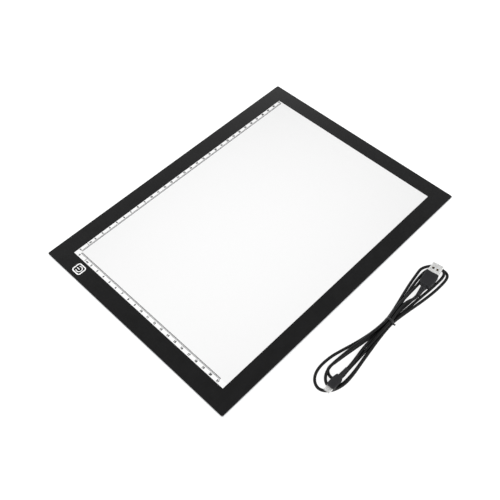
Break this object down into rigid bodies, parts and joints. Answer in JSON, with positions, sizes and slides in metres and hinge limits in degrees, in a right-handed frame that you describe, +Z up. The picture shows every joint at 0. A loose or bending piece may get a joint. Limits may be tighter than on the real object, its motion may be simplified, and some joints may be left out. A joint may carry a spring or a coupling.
{
  "type": "light box",
  "caption": "Thin A4 tracing light box: lit white drawing window in a black ruled border with a touch key, and its tied USB cable.",
  "frame": {"origin": "middle of the pad's underside, on the surface that its feet stand on", "axes": "+X along the long side, away from the touch key; +Y towards the long side with the long ruler and the USB socket; +Z up through the drawing surface"},
  "size_m": [0.358, 0.3264, 0.0111],
  "materials": {
    "panel_acrylic": "opal white acrylic, satin top",
    "border_ink": "screen-printed satin black ink",
    "key_ink": "screen-printed white ink",
    "case_plastic": "moulded, fine texture",
    "foot_rubber": "matte",
    "tape": "double-sided tissue tape",
    "reflector_film": "white polyester film",
    "guide_acrylic": "clear polished acrylic",
    "diffuser_film": "frosted polyester film",
    "strip_board": "white solder mask",
    "led_package": "phosphor resin",
    "circuit_board": "green solder mask",
    "chip_plastic": "moulded epoxy",
    "ceramic": "sintered ceramic",
    "conductive_rubber": "conductive foam",
    "copper_foil": "thin copper foil",
    "wire_insulation": "extruded insulation",
    "plated_steel": "nickel plated",
    "contact_carrier": "moulded",
    "gold_contact": "gold flashed",
    "grip_plastic": "moulded, satin",
    "cord_jacket": "extruded PVC, semi-gloss",
    "tie_plastic": "plastic over wire"
  },
  "bodies": {
    "pad": {"front_panel": "panel_acrylic", "border_print": "border_ink", "touch_key_print": "key_ink", "back_cover": "case_plastic", "rubber_feet": "foot_rubber", "mid_frame": "case_plastic", "back_adhesive": "tape", "front_adhesive": "tape", "reflector_sheet": "reflector_film", "light_guide_plate": "guide_acrylic", "diffuser_sheet": "diffuser_film", "led_strip_board": "strip_board", "leds": "led_package", "control_board": "circuit_board", "touch_dimmer_chip": "chip_plastic", "led_switch_transistor": "chip_plastic", "board_passives": "ceramic", "touch_contact_pad": "conductive_rubber", "touch_electrode": "copper_foil", "led_wires": "wire_insulation", "usb_socket_shell": "plated_steel", "usb_socket_tongue": "contact_carrier", "usb_socket_contacts": "gold_contact"},
    "usb_cable": {"usb_a_shell": "plated_steel", "usb_a_insulator": "contact_carrier", "usb_a_contacts": "gold_contact", "usb_a_grip": "grip_plastic", "micro_usb_shell": "plated_steel", "micro_usb_insulator": "contact_carrier", "micro_usb_contacts": "gold_contact", "micro_usb_latches": "plated_steel", "micro_usb_grip": "grip_plastic", "usb_a_lead": "cord_jacket", "micro_usb_lead": "cord_jacket", "cable_hank": "cord_jacket", "twist_tie": "tie_plastic"}
  },
  "joints": [
    {"name": "cable_move", "type": "slide", "parent": "pad", "child": "usb_cable", "axis": [0, -1, 0], "range_m": [0, 0.15]}
  ]
}
